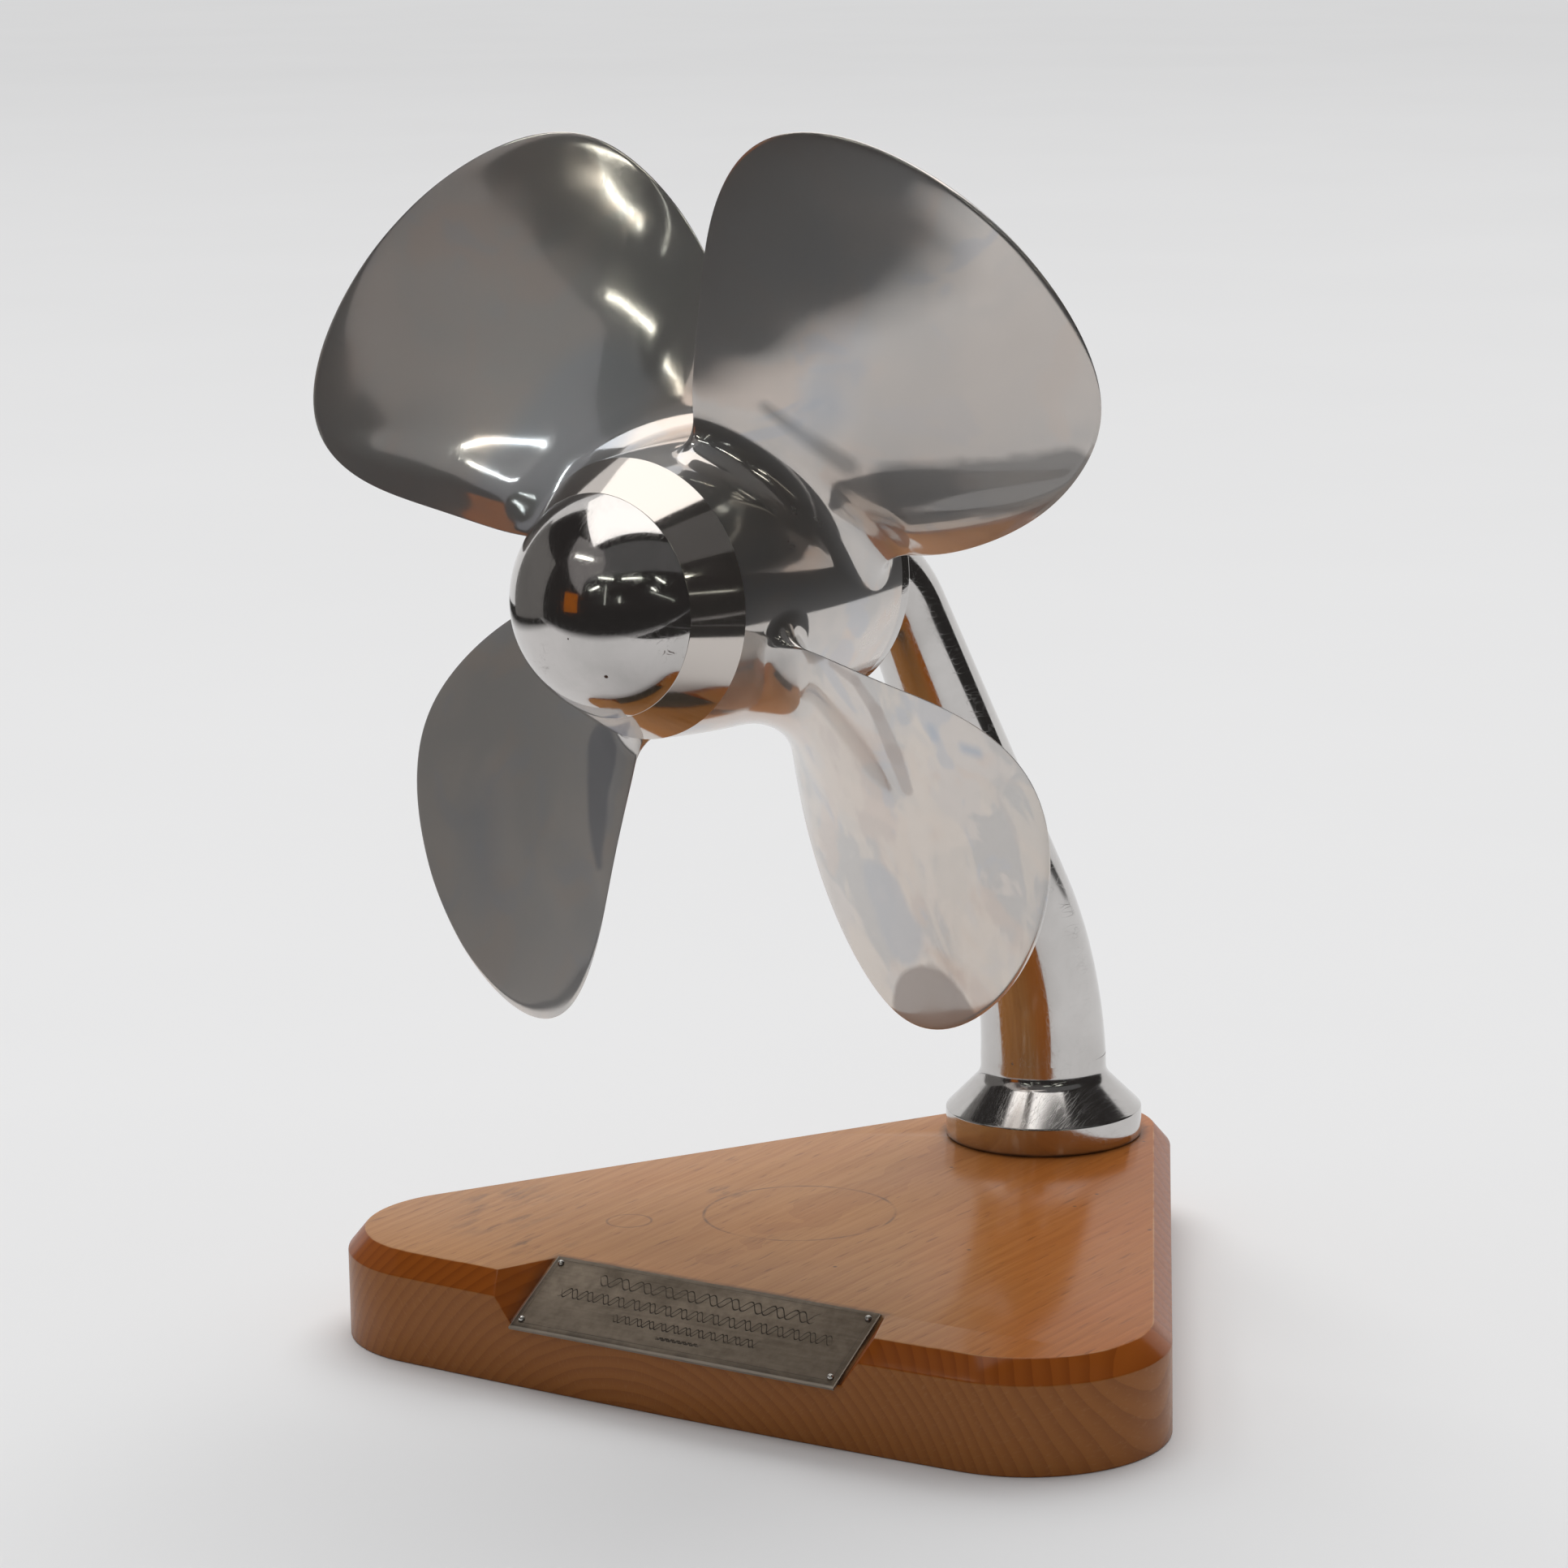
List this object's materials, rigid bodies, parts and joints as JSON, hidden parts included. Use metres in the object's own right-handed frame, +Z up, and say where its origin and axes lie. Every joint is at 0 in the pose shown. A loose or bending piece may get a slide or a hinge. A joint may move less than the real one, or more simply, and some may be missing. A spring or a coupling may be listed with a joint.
{
  "type": "boat propeller on a display stand",
  "caption": "Polished screw propeller with broad blades and a domed nose cap, turning on a curved metal arm that stands on a bevelled wooden base with a blank plaque.",
  "frame": {"origin": "middle of the whole object's footprint, on the plane it stands on", "axes": "+Z up; -Y the way the nose cap points, along the shaft; +X to the right seen from the nose"},
  "size_m": [0.27, 0.27, 0.3517],
  "materials": {
    "cast_metal": "hand polished casting, slightly hazy",
    "mirror_metal": "mirror polished",
    "polished_metal": "polished",
    "bronze": "machined bearing bronze",
    "steel": "machined, lightly oiled",
    "beech": "varnished beech, worn",
    "tarnished_silver": "tarnished silver sheet",
    "pin_metal": "bright round pin heads"
  },
  "bodies": {
    "stand": {"base_block": "beech", "plaque": "tarnished_silver", "plaque_pins": "pin_metal", "foot_flange": "polished_metal", "foot_dowels": "steel", "foot_stud": "steel", "foot_nut": "steel", "foot_lock_washer": "steel", "foot_washer": "steel", "arm": "polished_metal", "shaft": "steel", "shaft_pin": "steel", "thrust_washer_rear": "bronze", "thrust_washer_front": "bronze", "shaft_nut": "steel", "cotter_pin": "steel"},
    "rotor": {"propeller": "cast_metal", "nose_cap": "mirror_metal", "rear_cover": "polished_metal", "bush_rear": "bronze", "bush_front": "bronze"}
  },
  "joints": [
    {"name": "propeller_spin", "type": "hinge", "parent": "stand", "child": "rotor", "pos_m": [-0.00848, -0.06814, 0.2252], "axis": [0, 1, 0], "continuous": true}
  ]
}
